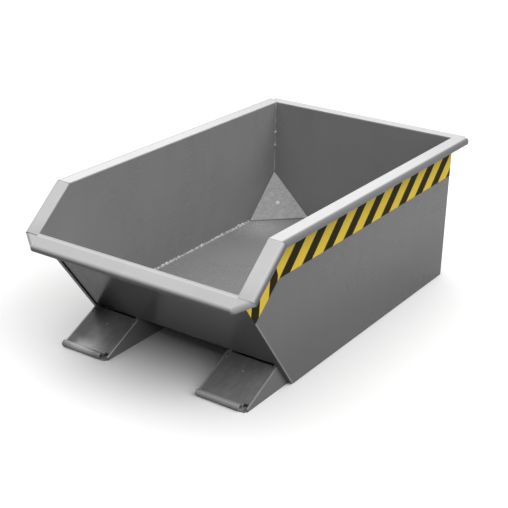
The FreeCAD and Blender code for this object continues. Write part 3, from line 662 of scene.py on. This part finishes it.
def bead(start, end, side_a, side_b, size, drop, seed):
    """Between the two faces the profile is r = size / (cos t + sin t) ** roundness, for t from one
    face to the other, closed behind the corner. Along the seam it is scaled by ripples, one for each
    drop, by lumps that are drawn once for each drop, and by a taper at both ends."""
    start, end, side_a, side_b = (np.array(v, float) for v in (start, end, side_a, side_b))
    length = np.linalg.norm(end - start)
    share = np.linspace(0, 1, max(FEWEST_STEPS, int(length / drop * STEPS_PER_DROP)))
    lumps = np.random.default_rng(seed).normal(0, 1, int(length / drop) + 4)
    lump = np.interp(share, np.linspace(0, 1, len(lumps)), lumps)
    ripple = np.abs(np.sin(np.pi * share * length / drop))
    taper = np.minimum(1, END_SIZE + END_GROWTH * np.minimum(share, 1 - share))
    scale = np.clip(MEAN_SIZE + RIPPLE * ripple + LUMP * lump, *SIZE_LIMITS) * taper
    angle = np.linspace(0, np.pi / 2, ARC_POINTS)[:, None]
    radius = size / (np.cos(angle) + np.sin(angle)) ** ROUNDNESS
    arc = radius * (np.cos(angle) * side_a + np.sin(angle) * side_b)
    profile = np.vstack((arc, -BEHIND * size * (side_a + side_b)))
    rings = start + share[:, None, None] * (end - start) + scale[:, None, None] * profile
    outward = np.dot(np.cross(side_a, side_b), end - start) > 0
    return rings if outward else rings[::-1]


print("bead ready")

# %% [markdown]
# Weld keeps specks of soot under its paint, so its tone jumps more than that of the sheets. The
# same spray serves, with a coarse noise as its mask.

# %% Paint for the welds
WELD_TONE, WELD_ROUGHNESS = 0.44, 0.4
SOOT_SCALE, SOOT_TONE, CLEAN = 150.0, 0.5, 0.7

weld = Finish("weld_paint", Metallic=0.15, Specular_IOR_Level=0.3)
soot = SOOT_TONE + weld.noise(SOOT_SCALE, 2.0).rise(0.38, 0.62) * CLEAN
weld_paint = sprayed(weld, WELD_TONE, WELD_ROUGHNESS, soot)
print("weld paint made")

# %% [markdown]
# The seams are read from the plates' own boxes, so the beads sit in the corners whatever size
# the tub has: along the floor at all four walls, up the two rear corners and up the leaning front.
# The rear corners have a fine seam with two drops of spatter on it. The lumps are drawn from fixed
# seeds, so that every run of the script gives the same beads.

# %% Weld the tub
SEAM, DROP = 0.006, 0.007
FLOOR_SEAM, FRONT_SEAM, FRONT_SHARE = SEAM * 0.7, SEAM * 0.6, 0.985
REAR_SEAM, REAR_DROP = SEAM * 0.25, DROP * 1.6
SPATTER, SPATTER_Z = SEAM * 0.95, (0.288, 0.331)
SIDE_SEED, REAR_SEED, SPATTER_SEED, FRONT_SEED, CROSS_SEED = 11, 21, 25, 31, 41
UP, DOWN, FORWARD, BACKWARD = (0, 0, 1), (0, 0, -1), (0, -1, 0), (0, 1, 0)

gusset_low, gusset_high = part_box("right_corner_gusset")
lean = np.array((0.0, -FRONT_LEAN, 1.0)) / math.hypot(FRONT_LEAN, 1)
front_in = np.array((0.0, lean[2], -lean[1]))
lip = lean * (front_high.z - floor_z) / lean[2]
seams = []
for side in (-1, 1):
    inward, corner = (-side, 0, 0), (side * wall_x, rear_y)
    foot = np.array((side * wall_x, front_y, floor_z))
    floor_end = (side * wall_x, gusset_low.y, floor_z)
    rear_run = ((*corner, gusset_high.z), (*corner, rear_high.z))
    front_run = (foot, foot + lip * FRONT_SHARE)
    seams.append(bead(foot, floor_end, inward, UP, SEAM, DROP, SIDE_SEED + side))
    seams.append(bead(*rear_run, inward, FORWARD, REAR_SEAM, REAR_DROP, REAR_SEED + side))
    for height in SPATTER_Z:
        blob = ((*corner, height - DROP / 2), (*corner, height + DROP / 2))
        seams.append(bead(*blob, inward, FORWARD, SPATTER, DROP, SPATTER_SEED + side))
    seams.append(bead(*front_run, inward, front_in, FRONT_SEAM, DROP, FRONT_SEED + side))
cross_runs = ((front_y, BACKWARD, lean, wall_x), (rear_y, FORWARD, UP, gusset_low.x))
for y, off_wall, up_wall, reach in cross_runs:
    ends = ((-reach, y, floor_z), (reach, y, floor_z))
    seams.append(bead(*ends, off_wall, up_wall, FLOOR_SEAM, DROP, CROSS_SEED))
piece("tub_welds", seams, weld_paint, "tub", "grey_paint")

# %% [markdown]
# Underneath, the ribs are welded to the floor on both sides. Nobody sees these until the tub tips,
# but they keep the floor from bulging. The ribs are one node, so the places of their faces are
# read from its points, and every second face looks back.

# %% Weld the ribs
RIB_SEED = 51


def points_of(name):
    """All points of a node, one row each."""
    points = np.empty(len(nodes[name].data.vertices) * 3)
    nodes[name].data.vertices.foreach_get("co", points)
    return points.reshape(-1, 3)


rib_low, rib_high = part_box("floor_ribs")
rib_faces = np.unique(points_of("floor_ribs")[:, 1].round(5))
rib_seams = []
for number, y in enumerate(rib_faces):
    ends = ((rib_low.x, y, rib_high.z), (rib_high.x, y, rib_high.z))
    off_rib = BACKWARD if number % 2 else FORWARD
    rib_seams.append(bead(*ends, off_rib, DOWN, FLOOR_SEAM, DROP, RIB_SEED + number))
piece("rib_welds", rib_seams, weld_paint, "tub", "grey_paint")

# %% [markdown]
# The two cross tubes are welded to the fork pockets all round, which makes one base of the two.
# Each end of a tube has four short beads, two level and two upright, all from the tube's own box.

# %% Weld the cross tubes
LEVEL_SEED, UPRIGHT_SEED = 61, 71

tube_seams = []
for number, tube in enumerate(("front_cross_tube", "rear_cross_tube")):
    low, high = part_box(tube)
    for inward, x in (((1, 0, 0), low.x), ((-1, 0, 0), high.x)):
        for z, outward in ((low.z, DOWN), (high.z, UP)):
            ends = ((x, low.y, z), (x, high.y, z))
            tube_seams.append(bead(*ends, inward, outward, FLOOR_SEAM, DROP, LEVEL_SEED + number))
        for y, outward in ((low.y, FORWARD), (high.y, BACKWARD)):
            ends = ((x, y, low.z), (x, y, high.z))
            tube_seams.append(bead(*ends, inward, outward, FLOOR_SEAM, DROP, UPRIGHT_SEED + number))
piece("tube_welds", tube_seams, weld_paint, "base", "grey_paint")

# %% [markdown]
# ## Turned pieces
# Rivets, pins, bolts and knobs start on a lathe: a profile is spun round an axis. Flutes and the
# six flats of a bolt head are cut afterwards, so the radius is also multiplied by an outline that
# depends on the angle.

# %% A profile spun round an axis
ROUND = np.ones(32)


def spun(profile, foot, axis, outline=ROUND):
    """At height h and angle a the point is foot + h along the axis + profile(h) * outline(a) away
    from it."""
    axis = np.array(axis, float) / np.linalg.norm(axis)
    aside = np.cross(axis, np.eye(3)[np.argmin(np.abs(axis))])
    aside /= np.linalg.norm(aside)
    angle = np.linspace(0, 2 * np.pi, len(outline), endpoint=False)[:, None]
    ring = outline[:, None] * (np.cos(angle) * aside + np.sin(angle) * np.cross(axis, aside))
    radius, height = np.array(profile, float).T[:, :, None, None]
    return np.array(foot, float) + height * axis + radius * ring


print("lathe ready")

# %% [markdown]
# A rivet head is a low dome on a thin collar. The two in the corner plates are large, bright and
# lie square to the plates. The small grey ones on the toes lie square to the ramps. A half sphere
# would stand too proud, so the dome is a flattened quarter turn.

# %% Rivet heads
GUSSET_RUN, GUSSET_RISE = 0.132, 0.126
CORNER_RADIUS, CORNER_HEIGHT = 0.007, 0.004
RAMP_RADIUS, RAMP_HEIGHT = 0.003, 0.002
DOME = np.linspace(0, np.pi / 2 - 0.08, 10)

bright, plain = (Finish(name, Specular_IOR_Level=0.3) for name in ("rivet_paint", "ramp_rivet_paint"))
rivet_paint = sprayed(bright, tone=0.8, roughness=0.45)
ramp_rivet_paint = sprayed(plain, tone=0.31, roughness=0.4)


def middle(name, side):
    """The middle of the part of a node that lies on one side of the skip."""
    points = points_of(name)
    half = points[points[:, 0] * side > 0]
    return (half.min(0) + half.max(0)) / 2


def rivet(centre, axis, radius, height):
    """A collar, then a dome: radius times cos t at height times sin t."""
    collar = [(radius, 0), (radius, 0.18 * height), (0.86 * radius, 0.24 * height)]
    crown = np.stack((0.84 * radius * np.cos(DOME), height * (0.26 + 0.74 * np.sin(DOME))), 1)
    axis = np.array(axis, float) / np.linalg.norm(axis)
    return spun(collar + crown.tolist(), centre - axis * height / 2, axis)


corner_rivets, ramp_rivets = [], []
for side in (-1, 1):
    off_gusset, off_ramp = (-side * GUSSET_RISE, -GUSSET_RISE, GUSSET_RUN), (0, -toe_rise, TOE_RUN)
    in_gusset, in_ramp = middle("gusset_studs", side), middle("ramp_studs", side)
    corner_rivets.append(rivet(in_gusset, off_gusset, CORNER_RADIUS, CORNER_HEIGHT))
    ramp_rivets.append(rivet(in_ramp, off_ramp, RAMP_RADIUS, RAMP_HEIGHT))
piece("corner_rivets", corner_rivets, rivet_paint, "tub", "bare_steel", "gusset_studs")
piece("ramp_rivets", ramp_rivets, ramp_rivet_paint, "base", "bare_steel", "ramp_studs")

# %% [markdown]
# The latch is turned by a fluted knob, which lies along y and takes its length and radius from
# the solid that it replaces. The flutes could be cut with a boolean, but a wave on the outline
# gives them with clean faces.

# %% Knob
FLUTES, FLUTE_DEPTH = 9, 0.07
KNOB_SHARES = (
    (0.62, 0), (0.62, 0.12), (0.9, 0.2), (1, 0.3), (1, 0.8), (0.93, 0.9), (0.75, 0.97), (0.4, 1),
    (0.05, 1))


def front_middle(low, high):
    """The middle of the front face of a box, where a piece that lies along y starts."""
    return np.array(((low.x + high.x) / 2, low.y, (low.z + high.z) / 2))


low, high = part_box("latch_knob")
knob_radius, knob_length = (high.x - low.x) / 2, high.y - low.y
turns = np.linspace(0, 2 * np.pi, 12 * FLUTES, endpoint=False)
fluted = 1 - FLUTE_DEPTH * (0.5 - 0.5 * np.cos(FLUTES * turns))
knob_profile = [(r * knob_radius, h * knob_length) for r, h in KNOB_SHARES]
knob = spun(knob_profile, front_middle(low, high), BACKWARD, fluted)
piece("fluted_knob", [knob], knob_plastic, "latch", "knob", "latch_knob")

# %% [markdown]
# The latch turns on a bolt with a six-sided head on a washer. A regular outline needs no model of
# its own: between two corners the radius is that of a flat, divided by the cosine of the angle to
# the middle of the flat.

# %% Bolt
SHANK, HEAD, WASHER, SHANK_BREAK = 0.006, 0.006, 0.0015, 0.001
HEAD_SHARES = ((0.88, WASHER), (0.88, HEAD * 0.85), (0.8, HEAD), (0.05, HEAD))

low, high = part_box("latch_bolt")
bolt_radius, head_foot = (high.x - low.x) / 2, high.y - low.y - HEAD
turns = np.linspace(0, 2 * np.pi, 72, endpoint=False)
hexagon = math.cos(math.pi / 6) / np.cos(turns % (np.pi / 3) - np.pi / 6)
shank = [(SHANK * 0.9, 0), (SHANK, SHANK_BREAK), (SHANK, head_foot)]
washer_top = head_foot + WASHER
washer = [(SHANK, head_foot), (bolt_radius, head_foot), (bolt_radius, washer_top), (SHANK, washer_top)]
head = [(r * bolt_radius, head_foot + h) for r, h in HEAD_SHARES]
outlines = ((shank, ROUND), (washer, ROUND), (head, hexagon))
bolt = [spun(profile, front_middle(low, high), BACKWARD, outline) for profile, outline in outlines]
piece("hex_bolt", bolt, zinc.material, "base", "bare_steel", "latch_bolt")

# %% [markdown]
# The hook catches a striker, a peg with a broad head that is welded to the rear wall. It comes
# off a lathe in one piece, so the edges of its head are broken and its face keeps the small
# hollow of the lathe's centre. One profile gives peg and head together.

# %% Striker peg
BREAK, HOLLOW, HOLLOW_DEPTH = 0.0008, 0.002, 0.0014

low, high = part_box("latch_striker")
head_low, head_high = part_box("latch_striker_head")
peg, head_radius = (high.x - low.x) / 2, (head_high.x - head_low.x) / 2
peg_end, head_end = head_low.y - low.y, head_high.y - low.y
peg_profile = [
    (peg, 0), (peg, peg_end), (head_radius - BREAK, peg_end), (head_radius, peg_end + BREAK),
    (head_radius, head_end - BREAK), (head_radius - BREAK, head_end), (HOLLOW, head_end),
    (0.1 * HOLLOW, head_end - HOLLOW_DEPTH)]
striker = spun(peg_profile, front_middle(low, high), BACKWARD)
print("peg", round(peg, 4), "head", round(head_radius, 4), "length", round(head_end, 4))
piece("striker_peg", [striker], zinc.material, "tub", "bare_steel",
      "latch_striker", "latch_striker_head")

# %% [markdown]
# A drop pin behind each fork is turned with a pointed tip and a collar, and a round bar through
# its head makes the handle. The tip is what finds the hole, so it is tapered. Pin and bar are two
# profiles spun round crossing axes.

# %% Drop pins
PIN, TIP_RISE, FULL_RISE = 0.007, 0.006, 0.009
COLLAR, COLLAR_RISE, COLLAR_BREAK, COLLAR_FILLET, NECK = 0.011, 0.005, 0.0008, 0.0006, 0.014
BAR, BAR_BREAK, BAR_ROUND = 0.005, 0.0008, 0.003
for side in ("left", "right"):
    low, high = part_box(side + "_fork_pin")
    foot = np.array(((low.x + high.x) / 2, (low.y + high.y) / 2, low.z))
    span, bar_z = high.x - low.x, high.z - BAR - low.z
    collar_top = bar_z - NECK
    seat = collar_top - COLLAR_RISE
    pin = [
        (0.4 * PIN, 0), (0.95 * PIN, TIP_RISE), (PIN, FULL_RISE), (PIN, seat),
        (0.93 * COLLAR, seat), (COLLAR, seat + COLLAR_BREAK),
        (COLLAR, collar_top - COLLAR_BREAK), (0.93 * COLLAR, collar_top),
        (PIN, collar_top + COLLAR_FILLET), (PIN, bar_z + 0.6 * BAR),
        (0.8 * PIN, bar_z + 0.85 * BAR), (0.05 * PIN, bar_z + 0.9 * BAR)]
    bar = [
        (0.3 * BAR, 0), (0.75 * BAR, BAR_BREAK), (BAR, BAR_ROUND),
        (BAR, span - BAR_ROUND), (0.75 * BAR, span - BAR_BREAK), (0.3 * BAR, span)]
    shapes = [spun(pin, foot, UP), spun(bar, (low.x, foot[1], low.z + bar_z), (1, 0, 0))]
    piece(side + "_drop_pin", shapes, zinc.material, side + "_pin", "bare_steel", side + "_fork_pin")

# %% [markdown]
# ## Studio
# The floor and the world are pale for the camera, and for what shines or lets light through. For
# light that bounces they are dark, as workshop ground is, so the underside of the lip stays in
# shade. One test on the kind of ray serves both. The view transform is the plain one, at which a
# colour shows as it is written.

# %% Floor
bpy.context.scene.view_settings.view_transform = "Standard"
FLOOR_REACH = 40.0
FLOOR_PALE, FLOOR_DARK = 0.97, 0.10


def seen(tree):
    """1 for rays from the camera, from shine and through glass, 0 for bounced light."""
    kinds = ("Is Camera Ray", "Is Glossy Ray", "Is Transmission Ray")
    straight, shine, through = (tree.add("ShaderNodeLightPath", output=kind) for kind in kinds)
    return (straight + shine + through) > 0.5


def chalk(tree, tone):
    """A matt shader of one tone."""
    return tree.add("ShaderNodeBsdfDiffuse", {}, {"Color": (tone, tone, tone, 1)})


across, deep = np.meshgrid((-FLOOR_REACH, FLOOR_REACH), (-FLOOR_REACH, FLOOR_REACH))
floor_points = np.stack((across, deep, np.zeros_like(across)), -1).reshape(-1, 3)
floor_mesh = bpy.data.meshes.new("studio_floor")
floor_mesh.from_pydata(floor_points.tolist(), [], [(0, 1, 3, 2)])
studio_floor = placed("studio_floor", floor_mesh)
ground = Finish("studio_floor")
tones = {0: seen(ground), 1: chalk(ground, FLOOR_DARK), 2: chalk(ground, FLOOR_PALE)}
blend = ground.add("ShaderNodeMixShader", {}, tones)
ground.fill(ground.tree.nodes["Material Output"].inputs["Surface"], blend)
floor_mesh.materials.append(ground.material)
print("floor", 2 * FLOOR_REACH, "m across")

# %% [markdown]
# The world is white where it is seen and dim where it lights. A second background could be mixed
# in, but one is enough when its strength follows the kind of ray.

# %% World
SKY_DIM = 0.12

world = bpy.data.worlds.new("studio")
bpy.context.scene.world = world
world.use_nodes = True
sky = Nodes(world.node_tree)
air = sky.tree.nodes["Background"]
sky.fill(air.inputs["Color"], (1, 1, 1, 1))
sky.fill(air.inputs["Strength"], SKY_DIM + seen(sky) * (1 - SKY_DIM))
print("sky at", SKY_DIM, "of its light")

# %% [markdown]
# Three broad soft lamps light the skip. The one overhead makes the rim the brightest part, a
# weaker one from the right keeps the tape clear, and a faint one from the rear left keeps the far
# sides out of the dark. Area lamps would do as well, but a sun with a wide angle has no distance
# to fit, and lights all parts of a long object alike.


# %% Lamps
def lamp(name, strength, spread, azimuth, elevation):
    """A broad soft sun from a direction; all angles in degrees."""
    light = bpy.data.lights.new(name, "SUN")
    light.energy = strength
    light.angle = math.radians(spread)
    source = Vector(towards(math.radians(azimuth), math.radians(elevation)))
    placed(name, light).rotation_euler = source.to_track_quat("Z", "Y").to_euler()
    print(name, strength)


lamp("overhead", strength=2.6, spread=100, azimuth=120, elevation=86)
lamp("right_side", strength=1.4, spread=60, azimuth=85, elevation=35)
lamp("rear_left", strength=0.6, spread=90, azimuth=240, elevation=25)
